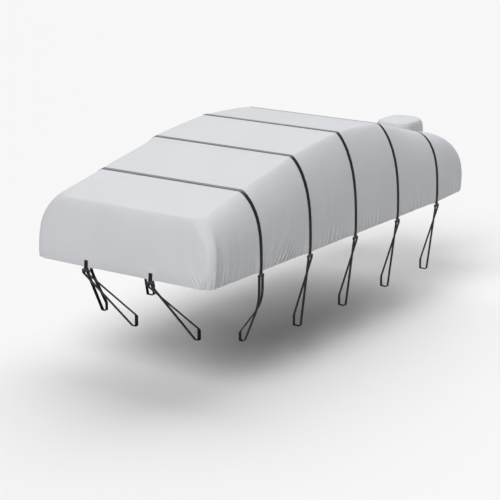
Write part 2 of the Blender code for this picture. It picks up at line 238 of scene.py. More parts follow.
# How far the top hangs between the straps: start and end of the bay along the cover, the share of
# the bay at which it hangs lowest, and how far. It comes in between the rows in SAG_ROWS. A slow
# unevenness of the given size goes over all the cloth.
Sag = namedtuple("Sag", "start end lowest depth")
SAGS = (
    Sag(0.949, 1.932, 0.72, 0.019),
    Sag(1.932, 2.915, 0.50, 0.003),
    Sag(2.915, 3.898, 0.32, 0.014),
    Sag(3.898, 4.881, 0.50, 0.004),
)
SAG_ROWS = (1.45, 1.9)
UNEVEN = 0.0022
UNEVEN_SIZE = 0.42

# Hem of the boat cover: turned up, with one row of stitches sunk along the top of the turn. The
# cloth is tucked in below, by a depth, a reach up the wall and the power of its curve.
HEM_DEPTH = 0.026
HEM_PROUD = 0.0010
STITCH_SINK = 0.0011
STITCH_GROOVE = 0.0026
Tuck = namedtuple("Tuck", "depth reach power")
WALL_TUCK = Tuck(0.016, 0.45, 1.2)
BOW_TUCK = Tuck(0.017, 0.12, 1.5)

# Webbing: two inches wide, over the top at five stations and on two bow tabs. Its threads are
# lines at shares of its width. It leaves the cloth at FACE_FOOT above the hem, for buckles whose
# middles are SIDE_FACE from the centreline and BOW_FACE from the bow hem.
WEBBING_WIDTH = 0.050
WEBBING_THICKNESS = 0.002
THREADS = (-0.5, -0.25, 0.0, 0.25, 0.5)
CLEARANCE = 0.0005
FIRST_STRAP_X = 0.949
STRAP_PITCH = 0.983
STRAPS = tuple(FIRST_STRAP_X + STRAP_PITCH * i for i in range(5))
TAB_Y = 0.453
TAB_HEIGHT = 0.094
TAB_TURN = 0.004
FACE_FOOT = 0.016
SIDE_FACE = HALF_WIDTH - HEM_DRAW_IN + CLEARANCE + WEBBING_THICKNESS / 2
BOW_FACE = -CLEARANCE - WEBBING_THICKNESS / 2

# The cloth lies flat up to the first distance from the webbing's middle and free from the second.
STRAP_HOLD = (0.028, 0.110)
TAB_HOLD = (0.026, 0.060)
TAB_MARGIN = 0.05

# Tie-down loops: how far the legs fall straight before they slant, where the foot passes near and
# far round its beam, and the beam's top and bottom. Long runs are cut into short steps.
Loop = namedtuple("Loop", "drop near far beam_top beam_bottom")
LEG_SPACING = 0.062
BEND_RADIUS = 0.014
BEND_STEPS = 7
FALL_RADIUS = 0.16
FALL_STEPS = 14
LONG_RUN = 0.12
RUN_STEP = 0.06
SIDE_LOOPS = (
    Loop(0.28, 1.025, 0.965, -0.735, -0.835),
    Loop(0.00, 1.125, 1.032, -0.780, -0.900),
    Loop(0.00, 1.125, 1.032, -0.780, -0.900),
    Loop(0.00, 1.125, 1.032, -0.780, -0.900),
    Loop(0.00, 1.125, 1.032, -0.780, -0.900),
)
BOW_LOOP = Loop(0.00, 0.812, 0.870, -0.780, -0.900)

# Buckle: a moulded plate with one window for the strap above and two for the legs below. It is
# narrower above NECK_FOOT, and edges that turn by more than SHARP radians are rounded.
BUCKLE_PLATE = 0.006
BUCKLE_ROUND = 0.0013
BUCKLE_ROWS = (-0.0500, -0.0448, -0.0362, -0.0225, -0.0135, -0.0052, -0.0005)
BUCKLE_COLUMNS = (-0.0592, -0.0560, -0.0262, -0.0064, 0.0064, 0.0262, 0.0560, 0.0592)
NECK_COLUMNS = (-0.0300, -0.0285, -0.0262, -0.0064, 0.0064, 0.0262, 0.0285, 0.0300)
NECK_FOOT = -0.02
SHARP = 0.6

# Windows of the buckle: nearest and furthest from its middle line, bottom and top.
Window = namedtuple("Window", "inner outer bottom top")
BUCKLE_WINDOWS = (
    Window(0.0, 0.0262, -0.0135, -0.0052),
    Window(0.0064, 0.0560, -0.0448, -0.0362),
)

# Ends of the webbing in the buckle: distance out from the plate's middle, and height.
STRAP_END = ((0.0008, 0.012), (0.0036, 0.003), (0.0047, -0.003), (0.0042, -0.0072),
             (0.0010, -0.0096), (-0.0030, -0.0088), (-0.0046, -0.0050))
LEG_START = ((-0.0046, -0.0475), (-0.0044, -0.0425), (-0.0020, -0.0394), (0.0020, -0.0394),
             (0.0044, -0.0425), (0.0047, -0.0480), (0.0030, -0.0540), (0.0008, -0.0600))
LEG_TOP = -0.070

# Motor hood: a soft box with a domed crown, a seam round its crown and a drawn-in, gathered hem.
# Levels and reaches are shares of its height.
HOOD_X = 5.735
HOOD_LENGTH = 0.630
HOOD_HALF_WIDTH = 0.270
HOOD_HEM_Z = 0.30
HOOD_EDGE_Z = 0.752
HOOD_DOME = 0.030
HOOD_CROWN = 3.8
HOOD_WALL = EndWall(0.042, 6.0, 2.00, 0.190, 0.190)
HOOD_DRAW_LEVEL = 0.14
HOOD_DRAW_POWER = 1.5
HOOD_HEM_DRAW_IN = 0.018
HOOD_SEAM = 0.900
HOOD_SEAM_RISE = 0.0030
HOOD_SEAM_WIDTH = 0.012
HOOD_GATHERS = 26
HOOD_GATHER_DEPTH = 0.0035
HOOD_GATHER_REACH = 0.30
HOOD_GATHER_DRIFT = 1.7
HOOD_UNEVEN = 0.0016
HOOD_UNEVEN_SIZE = 0.11

# Grid lines of the cloth, as (place, step) marks, each step held as far as the next mark: in
# metres on the boat cover and its hem, in shares of the height or the half width elsewhere.
COVER_COLUMNS = (
    (0.0, 0.0150), (0.46, 0.028), (1.02, 0.0163), (1.72, 0.022), (2.05, 0.0182), (2.78, 0.050),
    (2.98, 0.0182), (3.62, 0.050), (4.00, 0.0182), (4.72, 0.047), (5.00, 0.0182), (5.60, 0.030),
    (5.72, 0),
)
PORT_LINES = ((0.0, 0.084), (0.42, 0.034), (0.93, 0.0188), (1.25, 0))
STARBOARD_LINES = ((0.0, 0.105), (0.42, 0.064), (1.25, 0))
HEM_ROWS = (
    (0.0, 0.010), (0.020, 0.0065), (0.033, 0.0165), (0.10, 0.0225), (0.19, 0.0275), (0.30, 0),
)
WALL_ROWS = ((0.0, 0.128), (0.77, 0.067), (0.905, 0.030), (0.965, 0.0143), (0.994, 0.006), (1.0, 0))
HOOD_GRID = ((0.0, 0.07), (1.0, 0))
HOOD_ROWS = ((0.0, 0.030), (0.24, 0.070), (0.80, 0.032), (0.96, 0.010), (1.0, 0))
LOW_WALL = 0.30

# Part of the port hem whose grid is made finer: up to a row, clear of the straps, and on the bow
# wall to port of a line.
PLEATED_ROW = 0.93
PLEATED_BOW = -0.38
PLEATED_FROM_STRAP = 0.06
TOLERANCE = 0.001

# Finishes: base colours, then weave, rib and stitch sizes in metres on the piece. The webbing's
# grey top, painted sheen with some real sun fading, comes in between the two heights of its normal
# in FACING_UP.
CLOTH_DARK = (0.456, 0.462, 0.481)
CLOTH_LIGHT = (0.478, 0.484, 0.503)
STITCH_GREY = (0.42, 0.425, 0.44)
WEBBING_DARK = (0.0050, 0.0051, 0.0055)
WEBBING_WORN = (0.0110, 0.0112, 0.0120)
# Painted sheen where the webbing lies face up, with some real sun fading.
WEBBING_SHEEN_AND_FADE = (0.200, 0.203, 0.210)
PLASTIC_DARK = (0.0060, 0.0060, 0.0065)
PLASTIC_LIGHT = (0.0100, 0.0100, 0.0105)
CLOTH_PITCH = 0.0009
CLOTH_CROSSING = 0.35
STRAP_RIB = 0.0021
TIE_DOWN_RIB = 0.0024
WEBBING_CORDS = 12
CORD_HEIGHT = 0.4
HERRINGBONE = 1.4
SELVEDGE_POWER = 4.0
STITCH_LENGTH = 0.0065
STITCH_HALF_WIDTH = 0.0007
STITCH_GAP = -0.55
FACING_UP = (0.72, 0.97)

# Studio: pale floor under the trailer's wheels, a pale sky and two broad soft lamps, each with its
# strength, its spread in degrees and the way it shines.
GROUND = 1.36
FLOOR_HALF = 90.0
FLOOR_GREY = (0.66, 0.66, 0.66)
SKY_STRENGTH = 0.18
Lamp = namedtuple("Lamp", "name strength spread heading")
LAMPS = (
    Lamp("bow lamp", 2.72, 35.0, (0.700, 0.160, -0.696)),
    Lamp("stern lamp", 2.35, 70.0, (-0.539, -0.196, -0.819)),
)
CAMERA_PLACE = (-14.081, -11.647, 5.272)
CAMERA_TILT = 74.652
CAMERA_TURN = -54.94
CAMERA_LENS = 124.9
CAMERA_SENSOR = 36.0
CAMERA_REACH = 500.0

SIDES = (("port", -1), ("starboard", 1))
HEM_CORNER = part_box("boat_cover")[0]
hem_plane = Matrix.Translation((HEM_CORNER[0], 0.0, HEM_CORNER[2]))


def ruled(marks):
    """Grid lines through a row of (place, step) marks."""
    lines = []
    for (start, step), (stop, _) in zip(marks, marks[1:]):
        count = max(1, round((stop - start) / step))
        lines += [start + (stop - start) * i / count for i in range(count)]
    return lines + [marks[-1][0]]


def both_ways(half):
    """Grid lines mirrored across zero."""
    return sorted({-line for line in half} | set(half))


def eased(low, high, value):
    """Zero below low, one above high, with a soft rise between."""
    t = min(max((value - low) / (high - low), 0.0), 1.0)
    return t * t * (3 - 2 * t)


def smooth_through(rows, column, x):
    """Value at x of a smooth curve through one column of a table, sloping as its rows do."""
    places = [row.x for row in rows]
    values = [getattr(row, column) for row in rows]
    x = min(max(x, places[0]), places[-1])
    last = len(rows) - 2
    i = min(sum(place <= x for place in places) - 1, last)

    def slope(k):
        low = max(k - 1, 0)
        high = min(k + 1, last + 1)
        return (values[high] - values[low]) / (places[high] - places[low])

    span = places[i + 1] - places[i]
    t = (x - places[i]) / span
    start = values[i] * (1 + 2 * t) * (1 - t) ** 2 + slope(i) * span * t * (1 - t) ** 2
    end = values[i + 1] * t * t * (3 - 2 * t) - slope(i + 1) * span * t * t * (1 - t)
    return start + end


def lean_in(wall, f):
    """Distance that a wall has leaned in at fraction f of its height."""
    return wall.lean * (1 - (1 - f ** wall.power) ** (1 / wall.shoulder))


def corner_radius(wall, f):
    """Plan radius of an end wall's corners at fraction f of its height."""
    return wall.hem_radius + (wall.top_radius - wall.hem_radius) * f


def round_corner(along, across, radius):
    """Move a point of a square corner onto a round one; both are distances in from the walls."""
    p = 1 - along / radius
    q = 1 - across / radius
    if p <= 0 or q <= 0:
        return along, across
    return (1 - p * math.sqrt(1 - q * q / 2)) * radius, (1 - q * math.sqrt(1 - p * p / 2)) * radius


def end_parts(u):
    """How far a column at u belongs to the bow wall and to the stern wall."""
    return max(0.0, 1 - u / BOW_ZONE), max(0.0, 1 - (LENGTH - u) / STERN_ZONE)


def section_at(u):
    """Cross section where the column at u meets the top edge."""
    bow_part, stern_part = end_parts(u)
    x = u + (BOW_SLOPE + BOW.lean) * bow_part - STERN.lean * stern_part
    return Section(x, *(smooth_through(SECTIONS, name, x) for name in Section._fields[1:]))


def gather_depth(x, height):
    """How far the broad gathers draw the side wall in."""
    depth = 0.0
    for i, gather in enumerate(GATHERS):
        before = GATHERS[i - 1].x if i else GATHERS_START
        after = GATHERS[i + 1].x if i + 1 < len(GATHERS) else GATHERS_END
        half = (gather.x - before if x < gather.x else after - gather.x) / 2
        side = abs(x - gather.x) / half
        if side < 1 and height < gather.reach:
            depth += gather.depth * (1 + math.cos(math.pi * side)) / 2 * (1 - height / gather.reach)
    return depth * GATHER_SHARE


def bow_radius(v, f):
    """Plan radius of a bow corner, the port one drawn tight over the corner post."""
    radius = corner_radius(BOW, f)
    if v > 0:
        return radius
    return radius * (1 - POST_TIGHTNESS * eased(0.0, POST_FOOT, f) * (1 - eased(*POST_HEAD, f)))


def plan_place(u, v, f, wall_y):
    """Place aft and distance in from the side wall, in the cover's plan at one height."""
    bow_x = BOW_SLOPE * f ** BOW_SLOPE_POWER + lean_in(BOW, f)
    stern_in = lean_in(STERN, f)
    bow_part, stern_part = end_parts(u)
    x = u + bow_x * bow_part - stern_in * stern_part
    inward = wall_y * (1 - abs(v))
    aft, inward = round_corner(x - bow_x, inward, bow_radius(v, f))
    between = LENGTH - stern_in - bow_x
    fore, inward = round_corner(between - aft, inward, corner_radius(STERN, f))
    return bow_x + between - fore, inward


def cover_point(u, v, row):
    """Smooth face of the boat cover. Rows run from 0 at the hem to 1 at the top of the low wall,
    and on to 2 at the top edge."""
    section = section_at(u)
    crown_x, _ = plan_place(u, v, 1.0, HALF_WIDTH - section.lean)
    top = smooth_through(SECTIONS, "top", crown_x)
    low = LOW_WALL / top
    f = low * row if row < 1 else low + (1 - low) * (row - 1)
    height = f * top
    wall_y = HALF_WIDTH - lean_in(section, f) - HEM_DRAW_IN * max(0.0, 1 - height / HEM_TURN)
    x, inward = plan_place(u, v, f, wall_y)
    draw = gather_depth(u, height) if abs(v) == 1 else 0.0
    lift = STERN_LIFT * eased(STRAPS[-1], LENGTH, u) * max(0.0, 1 - row)
    return Vector((x, math.copysign(wall_y - inward - draw, v), height + lift))


def pleat_relief(pleats, place, height, crease):
    """Hem pleats: each a trough with a soft ridge, twice as broad, showing on both its sides."""
    rise = 0.0
    for pleat in pleats:
        if height < pleat.reach:
            away = (place - pleat.place - pleat.slant * height) / (crease * pleat.width)
            if abs(away) < CREASE_SPREAD:
                shape = (1 + RIDGE_SHARE) * math.exp(-away * away)
                shape -= RIDGE_SHARE * math.exp(-away * away / 4)
                grown = PLEAT_AT_HEM + PLEAT_ABOVE_HEM * eased(0.0, PLEAT_FULL_HEIGHT, height)
                fade = grown * (1 - height / pleat.reach) ** PLEAT_FADE
                rise -= PLEAT_GAIN * pleat.depth * shape * fade
    return rise


def fold_relief(folds, place, height):
    """Long soft folds, each along a short line on the wall."""
    rise = 0.0
    for fold in folds:
        run = fold.end_place - fold.place
        climb = fold.end_height - fold.height
        length = math.hypot(run, climb)
        along = ((place - fold.place) * run + (height - fold.height) * climb) / length
        off = ((place - fold.place) * climb - (height - fold.height) * run) / length
        share = along / length
        if -FOLD_FADE < share < 1 + FOLD_FADE and abs(off) < CREASE_SPREAD * fold.width:
            ends = eased(-FOLD_FADE, FOLD_FADE, share)
            ends *= 1 - eased(1 - FOLD_FADE, 1 + FOLD_FADE, share)
            rise += fold.rise * ends * math.exp(-(off / fold.width) ** 2)
    return rise


def strap_hold(u, v, height):
    """Zero where a strap or tab holds the cloth flat, one away from them."""
    free = min(eased(*STRAP_HOLD, abs(u - x)) for x in STRAPS)
    if u < TAB_MARGIN and height < TAB_HEIGHT + TAB_MARGIN:
        beside_tab = eased(*TAB_HOLD, abs(abs(v) * HALF_WIDTH - TAB_Y))
        free = min(free, beside_tab + eased(0.0, TAB_MARGIN, u))
    return free


def top_sag(u, row):
    """How far the top and the shoulders hang between two straps."""
    drop = 0.0
    for sag in SAGS:
        if sag.start < u < sag.end:
            share = (u - sag.start) / (sag.end - sag.start)
            skewed = share ** (math.log(0.5) / math.log(sag.lowest))
            drop -= sag.depth * math.sin(math.pi * skewed)
    return drop * eased(*SAG_ROWS, row)


def tucked_in(tuck, height):
    """How far the cloth is tucked in at a height above the hem."""
    return tuck.depth * max(0.0, 1 - height / tuck.reach) ** tuck.power


def cover_relief(u, v, row, point):
    """Rise of the cloth's creases above its smooth face; the stern wall has no pleats or folds."""
    height = point.z
    on_side = abs(v) == 1
    on_bow = u == 0 and not on_side
    shift, crease, ease = 0.0, PORT_CREASE, 1.0
    if v > 0:
        shift, crease, ease = STARBOARD_SHIFT, STARBOARD_CREASE, STARBOARD_EASE
    rise = UNEVEN * noise.noise(point / UNEVEN_SIZE) + top_sag(u, row)
    if on_side:
        creases = pleat_relief(SIDE_PLEATS, u - shift, height, crease)
        creases += fold_relief(SIDE_FOLDS, u - shift, height)
        creases += pleat_relief(BOW_PLEATS, HALF_WIDTH + u, height, crease)
        rise += creases * ease
    elif on_bow:
        across = abs(v) * HALF_WIDTH
        creases = pleat_relief(BOW_PLEATS, across - shift / 2, height, crease)
        creases += fold_relief(BOW_FOLDS, across - shift / 2, height)
        creases += pleat_relief(SIDE_PLEATS, across - HALF_WIDTH, height, crease)
        rise += creases * ease
    free = strap_hold(u, v, height)
    rise *= free
    rise -= tucked_in(WALL_TUCK, height) * free
    if on_bow:
        rise -= tucked_in(BOW_TUCK, height) * free
    if height < HEM_DEPTH:
        rise += HEM_PROUD
    if abs(height - HEM_DEPTH) < STITCH_GROOVE and (on_side or on_bow):
        rise -= STITCH_SINK
    return rise


def has_port_pleats(cell):
    """Whether a cell of the ruled box, at column, line and row, lies in the port hem's pleats."""
    if cell.z > PLEATED_ROW:
        return False
    if cell.y > TOLERANCE - 1:
        return cell.x < TOLERANCE and cell.y < PLEATED_BOW
    return min(abs(cell.x - x) for x in STRAPS) > PLEATED_FROM_STRAP


def hood_point(u, v, f):
    """Smooth face of the motor hood, with u and v across its plan from -1 to 1."""
    drawn = max(0.0, 1 - f / HOOD_DRAW_LEVEL) ** HOOD_DRAW_POWER
    lean = lean_in(HOOD_WALL, f) + HOOD_HEM_DRAW_IN * drawn
    half_length = HOOD_LENGTH / 2 - lean
    half_width = HOOD_HALF_WIDTH - lean
    in_x, in_y = round_corner(
        half_length * (1 - abs(u)), half_width * (1 - abs(v)), corner_radius(HOOD_WALL, f)
    )
    dome = HOOD_DOME * (1 - abs(u) ** HOOD_CROWN) * (1 - abs(v) ** HOOD_CROWN) if f == 1 else 0.0
    return Vector((
        HOOD_X + HOOD_LENGTH / 2 + math.copysign(half_length - in_x, u),
        math.copysign(half_width - in_y, v),
        HOOD_HEM_Z + (HOOD_EDGE_Z - HOOD_HEM_Z) * f + dome,
    ))


def hood_relief(u, v, f, point):
    """Seam round the hood's crown, gathers at its drawn-in hem and a little slackness."""
    rise = HOOD_UNEVEN * noise.noise(point / HOOD_UNEVEN_SIZE)
    if max(abs(u), abs(v)) == 1:
        turn = math.atan2(point.y, point.x - HOOD_X - HOOD_LENGTH / 2)
        gathers = math.cos(HOOD_GATHERS * turn + HOOD_GATHER_DRIFT * math.sin(3 * turn))
        rise += HOOD_GATHER_DEPTH * gathers * (1 - eased(0.0, HOOD_GATHER_REACH, f))
        rise += HOOD_SEAM_RISE * math.exp(-((f - HOOD_SEAM) / HOOD_SEAM_WIDTH) ** 2)
    return rise


def ruled_grid(across, along):
    """Flat grid of cells, and the column and line of each of its vertices."""
    bm = bmesh.new()
    bmesh.ops.create_grid(bm, x_segments=across, y_segments=along, size=0.5)
    return bm, {
        vert: (round((vert.co.x + 0.5) * across), round((vert.co.y + 0.5) * along))
        for vert in bm.verts
    }


def hung_box(columns, lines, rows, place, relief, is_creased=None):
    """Cloth over a box: a ruled grid for the top, its rim drawn down the walls row by row, made
    finer where it is creased, then laid on the smooth shape and moved along its own normals."""
    bm, cells = ruled_grid(len(columns) - 1, len(lines) - 1)
    for vert, (i, j) in cells.items():
        vert.co = (columns[i], lines[j], rows[-1])
    rim = [edge for edge in bm.edges if edge.is_boundary]
    for row in reversed(rows[:-1]):
        drawn = bmesh.ops.extrude_edge_only(bm, edges=rim)["geom"]
        for vert in (item for item in drawn if isinstance(item, bmesh.types.BMVert)):
            vert.co.z = row
        rim = [item for item in drawn if isinstance(item, bmesh.types.BMEdge) and item.is_boundary]
    if is_creased:
        creased = {face for face in bm.faces if is_creased(face.calc_center_median())}
        finer = [edge for edge in bm.edges if not creased.isdisjoint(edge.link_faces)]
        bmesh.ops.subdivide_edges(bm, edges=finer, cuts=1, use_grid_fill=True)
    ruling = bm.verts.layers.float_vector.new("ruling")
    for vert in bm.verts:
        vert[ruling] = vert.co
        vert.co = place(*vert.co)
    bmesh.ops.recalc_face_normals(bm, faces=bm.faces)
    bm.normal_update()
    rises = [(vert, relief(*vert[ruling], vert.co)) for vert in bm.verts]
    moves = [(vert, vert.normal * rise) for vert, rise in rises]
    for vert, move in moves:
        vert.co += move
    return bm, ruling


def lay_out(bm, ruling, girth_at):
    """UV map in metres: along the hem and up the wall, or the plan where the cloth lies on top."""
    layout = bm.loops.layers.uv.new("cloth")
    top = max(vert[ruling].z for vert in bm.verts)
    for face in bm.faces:
        on_top = all(vert[ruling].z == top for vert in face.verts)
        port = sum(vert[ruling].y for vert in face.verts) < 0
        for loop in face.loops:
            vert = loop.vert
            u, v, _ = vert[ruling]
            if on_top:
                loop[layout].uv = (vert.co.x, vert.co.y)
            else:
                girth = girth_at(u, abs(v))
                loop[layout].uv = (-girth if port else girth, vert.co.z)


def cover_girth(u, across):
    """Distance along the boat cover's hem from the middle of the bow."""
    if across == 1:
        return HALF_WIDTH + u
    return HALF_WIDTH * across if u < LENGTH / 2 else LENGTH + HALF_WIDTH * (2 - across)


def hood_girth(u, across):
    """Distance along the hood's hem from the middle of its front."""
    if across == 1:
        return HOOD_HALF_WIDTH + HOOD_LENGTH * (u + 1) / 2
    return HOOD_HALF_WIDTH * across if u < 0 else HOOD_LENGTH + HOOD_HALF_WIDTH * (2 - across)


def new_object(name, data):
    """Object in the scene for a mesh, a light or a camera."""
    made = bpy.data.objects.new(name, data)
    bpy.context.collection.objects.link(made)
    return made


def finish_piece(name, bm, material, stands_for):
    """The bmesh made an object in its place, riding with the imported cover."""
    bmesh.ops.transform(bm, matrix=hem_plane, verts=bm.verts)
    mesh = bpy.data.meshes.new(name)
    bm.to_mesh(mesh)
    bm.free()
    mesh.shade_smooth()
    mesh.materials.append(material)
    piece = new_object(name, mesh)
    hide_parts(*stands_for)
    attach(piece, "root")
    return piece


def give_thickness(piece, thickness, offset):
    """Solidify: offset -1 thickens cloth inwards, 1 webbing laid on it, 0 a loop both ways."""
    solid = piece.modifiers.new("thickness", "SOLIDIFY")
    solid.thickness = thickness
    solid.offset = offset
    solid.use_even_offset = True
    solid.use_quality_normals = True


def webbing_strip(lines):
    """Flat webbing through rows of points, one row for each line of threads along it."""
    across = len(lines) - 1
    bm, cells = ruled_grid(across, len(lines[0]) - 1)
    for vert, (i, j) in cells.items():
        vert.co = lines[i][j]
    middle = lines[len(lines) // 2]
    run = [0.0]
    for point, after in zip(middle, middle[1:]):
        run.append(run[-1] + (after - point).length)
    layout = bm.loops.layers.uv.new("webbing")
    for face in bm.faces:
        for loop in face.loops:
            i, j = cells[loop.vert]
            loop[layout].uv = (i / across, run[j])
    bmesh.ops.recalc_face_normals(bm, faces=bm.faces)
    return bm


def rounded_route(points, radii):
    """Route through points, each inner one cut off by a soft bend of the given radius."""
    route = [points[0]]
    for before, point, after, radius in zip(points, points[1:], points[2:], radii):
        start = point + (before - point).normalized() * radius
        end = point + (after - point).normalized() * radius
        steps = FALL_STEPS if radius == FALL_RADIUS else BEND_STEPS
        for step in range(steps + 1):
            t = step / steps
            route.append(start * (1 - t) ** 2 + point * 2 * t * (1 - t) + end * t * t)
    route.append(points[-1])
    return route


def stepped(points):
    """The same line with its long straight runs cut into short steps."""
    line = [points[0]]
    for before, point in zip(points, points[1:]):
        run = (point - before).length
        if run > LONG_RUN:
            steps = round(run / RUN_STEP)
            line += [before.lerp(point, i / steps) for i in range(1, steps)]
        line.append(point)
    return line


def spread_threads(route, broad):
    """Lines of points along a route, spread over the webbing's width."""
    lines = [[] for _ in THREADS]
    for i, point in enumerate(route):
        along = (route[min(i + 1, len(route) - 1)] - route[max(i - 1, 0)]).normalized()
        wide = (broad - along * broad.dot(along)).normalized() * WEBBING_WIDTH
        for share, line in zip(THREADS, lines):
            line.append(point + wide * share)
    return lines


def strap_route(u, rows, lines):
    """Points on the cover's smooth face below one thread of an over-strap."""
    climb = [cover_point(u, -1.0, row) for row in rows]
    over = [cover_point(u, v, 2.0) for v in lines[1:-1]]
    fall = [cover_point(u, 1.0, row) for row in reversed(rows)]
    return climb + over + fall


def lifted(line, distance):
    """A line in a plane across the boat, moved out from the cloth by a distance."""
    moved = []
    for i, point in enumerate(line):
        along = (line[min(i + 1, len(line) - 1)] - line[max(i - 1, 0)]).normalized()
        moved.append(point + Vector((0.0, -along.z, along.y)) * distance)
    return moved


def side_place(x, sign):
    """Points by their distance along a side wall, out from it and up. Where a reach is given, it
    is the distance from the centreline and stands in for the one out."""
    def place(along, out, z, reach=None):
        return Vector((x + along, sign * (SIDE_FACE + out if reach is None else reach), z))
    return place


def bow_place(sign):
    """Points by the bow wall in the same way, with a reach that is the distance aft."""
    def place(along, out, z, reach=None):
        return Vector((BOW_FACE - out if reach is None else reach, sign * (TAB_Y - along), z))
    return place


def build_boat_cover(cloth):
    """The boat cover, with the rows and lines that the straps over it follow."""
    columns = ruled(COVER_COLUMNS)
    port = [-y / HALF_WIDTH for y in ruled(PORT_LINES)]
    lines = port[:0:-1] + [y / HALF_WIDTH for y in ruled(STARBOARD_LINES)]
    rows = [height / LOW_WALL for height in ruled(HEM_ROWS)]
    rows += [1 + f for f in ruled(WALL_ROWS)[1:]]
    bm, ruling = hung_box(columns, lines, rows, cover_point, cover_relief, has_port_pleats)
    lay_out(bm, ruling, cover_girth)
    piece = finish_piece("boat_cover_cloth", bm, cloth, ["boat_cover"])
    give_thickness(piece, CLOTH_THICKNESS, -1.0)
    return piece, rows, lines


def build_motor_hood(cloth):
    """The hood of the outboard motor."""
    lines = both_ways(ruled(HOOD_GRID))
    bm, ruling = hung_box(lines, lines, ruled(HOOD_ROWS), hood_point, hood_relief)
    lay_out(bm, ruling, hood_girth)
    piece = finish_piece("motor_hood_cloth", bm, cloth, ["motor_hood"])
    give_thickness(piece, CLOTH_THICKNESS, -1.0)
    return piece


def sewn_webbing(name, strands, outwards, webbing, stands_for):
    """Webbing laid on the cloth, its faces turned outwards and its thickness on top."""
    bm = webbing_strip(strands)
    if bm.faces[:][len(bm.faces) // 2].normal.dot(outwards) < 0:
        bmesh.ops.reverse_faces(bm, faces=bm.faces)
    piece = finish_piece(name, bm, webbing, [stands_for])
    give_thickness(piece, WEBBING_THICKNESS, 1.0)
    return piece


def build_over_strap(number, x, rows, lines, webbing):
    """Webbing over the top, both its ends folded through the buckles."""
    under = SIDE_FACE - WEBBING_THICKNESS / 2
    strands = []
    for share in THREADS:
        u = x + WEBBING_WIDTH * share
        face = lifted(strap_route(u, rows, lines), CLEARANCE + HEM_PROUD)
        face = [point for point in face if point.z > FACE_FOOT]
        port, starboard = (
            [Vector((u, sign * (under + out), z)) for out, z in STRAP_END] for _, sign in SIDES
        )
        strands.append(port[::-1] + face + starboard)
    name = f"over_strap_webbing_{number}"
    return sewn_webbing(name, strands, Vector((0.0, 0.0, 1.0)), webbing, f"over_strap_{number}")


def build_bow_tab(side, sign, rows, webbing):
    """Short webbing tab on the bow wall, folded through its buckle."""
    under = BOW_FACE + WEBBING_THICKNESS / 2
    strands = []
    for share in THREADS:
        y = sign * TAB_Y + WEBBING_WIDTH * share
        face = [cover_point(0.0, y / HALF_WIDTH, row) for row in rows]
        face = [point for point in face if FACE_FOOT < point.z < TAB_HEIGHT + TAB_TURN]
        face = [Vector((point.x - CLEARANCE - HEM_PROUD, y, point.z)) for point in face]
        ends = [Vector((under - out, y, z)) for out, z in STRAP_END]
        strands.append(ends[::-1] + face)
    name = f"bow_tab_webbing_{side}"
    return sewn_webbing(name, strands, Vector((-1.0, 0.0, 0.0)), webbing, f"bow_tab_{side}")


def in_window(centre):
    """Whether a cell of the buckle's plate lies in one of its windows."""
    return any(
        window.inner <= abs(centre.x) < window.outer and window.bottom < centre.z < window.top
        for window in BUCKLE_WINDOWS
    )


def build_buckle(name, plastic, place, stands_for):
    """Moulded plate: a ruled grid with its windows left out, made thick and rounded over."""
    bm, cells = ruled_grid(len(BUCKLE_COLUMNS) - 1, len(BUCKLE_ROWS) - 1)
    for vert, (i, j) in cells.items():
        columns = NECK_COLUMNS if BUCKLE_ROWS[j] > NECK_FOOT else BUCKLE_COLUMNS
        vert.co = (columns[i], -BUCKLE_PLATE / 2, BUCKLE_ROWS[j])
    open_faces = [face for face in bm.faces if in_window(face.calc_center_median())]
    bmesh.ops.delete(bm, geom=open_faces, context="FACES")
    grown = bmesh.ops.extrude_face_region(bm, geom=bm.faces[:])["geom"]
    for vert in (item for item in grown if isinstance(item, bmesh.types.BMVert)):
        vert.co.y = BUCKLE_PLATE / 2
    bmesh.ops.recalc_face_normals(bm, faces=bm.faces)
    sharp = [edge for edge in bm.edges if edge.calc_face_angle(0.0) > SHARP]
    bmesh.ops.bevel(
        bm, geom=sharp, offset=BUCKLE_ROUND, affect="EDGES", segments=2, profile=0.5, material=-1,
        clamp_overlap=True,
    )
    for vert in bm.verts:
        vert.co = place(vert.co.x, vert.co.y, vert.co.z)
    bmesh.ops.recalc_face_normals(bm, faces=bm.faces)
    finish_piece(name, bm, plastic, [stands_for])


def build_tie_down(name, loop, webbing, broad, place, stands_for):
    """One loop of webbing: out of the buckle, round the beam and back to the buckle."""
    half = LEG_SPACING / 2
    falls = [LEG_TOP, LEG_TOP - loop.drop] if loop.drop else [LEG_TOP]
    radii = [FALL_RADIUS] if loop.drop else []
    outer = [place(-half, 0.0, z) for z in falls]
    inner = [place(half, 0.0, z) for z in reversed(falls)]
    foot = [
        place(0.0, 0.0, loop.beam_bottom, loop.near),
        place(0.0, 0.0, loop.beam_bottom, loop.far),
        place(0.0, 0.0, loop.beam_top, loop.far),
    ]
    route = rounded_route(outer + foot + inner, radii + [BEND_RADIUS] * len(foot) + radii)
    first = [place(-half, out, z) for out, z in LEG_START]
    last = [place(half, out, z) for out, z in reversed(LEG_START)]
    bm = webbing_strip(spread_threads(stepped(first + route) + last, broad))
    piece = finish_piece(name, bm, webbing, [stands_for])
    give_thickness(piece, WEBBING_THICKNESS, 0.0)


def fill(tree, node, inputs):
    """A node with some of its inputs linked from sockets or set to values."""
    for label, value in inputs.items():
        if isinstance(value, bpy.types.NodeSocket):
            tree.links.new(value, node.inputs[label])
        else:
            node.inputs[label].default_value = value
    return node


def math_node(tree, operation, *values):
    """Outcome of a calculation on one or two sockets or numbers."""
    node = tree.nodes.new("ShaderNodeMath")
    node.operation = operation
    return fill(tree, node, dict(enumerate(values))).outputs[0]


def noise_node(tree, where, scale, detail, rough):
    """Noise at a place; its scale is a number or a socket."""
    return fill(tree, tree.nodes.new("ShaderNodeTexNoise"), {
        "Vector": where, "Scale": scale, "Detail": detail, "Roughness": rough,
    }).outputs["Fac"]


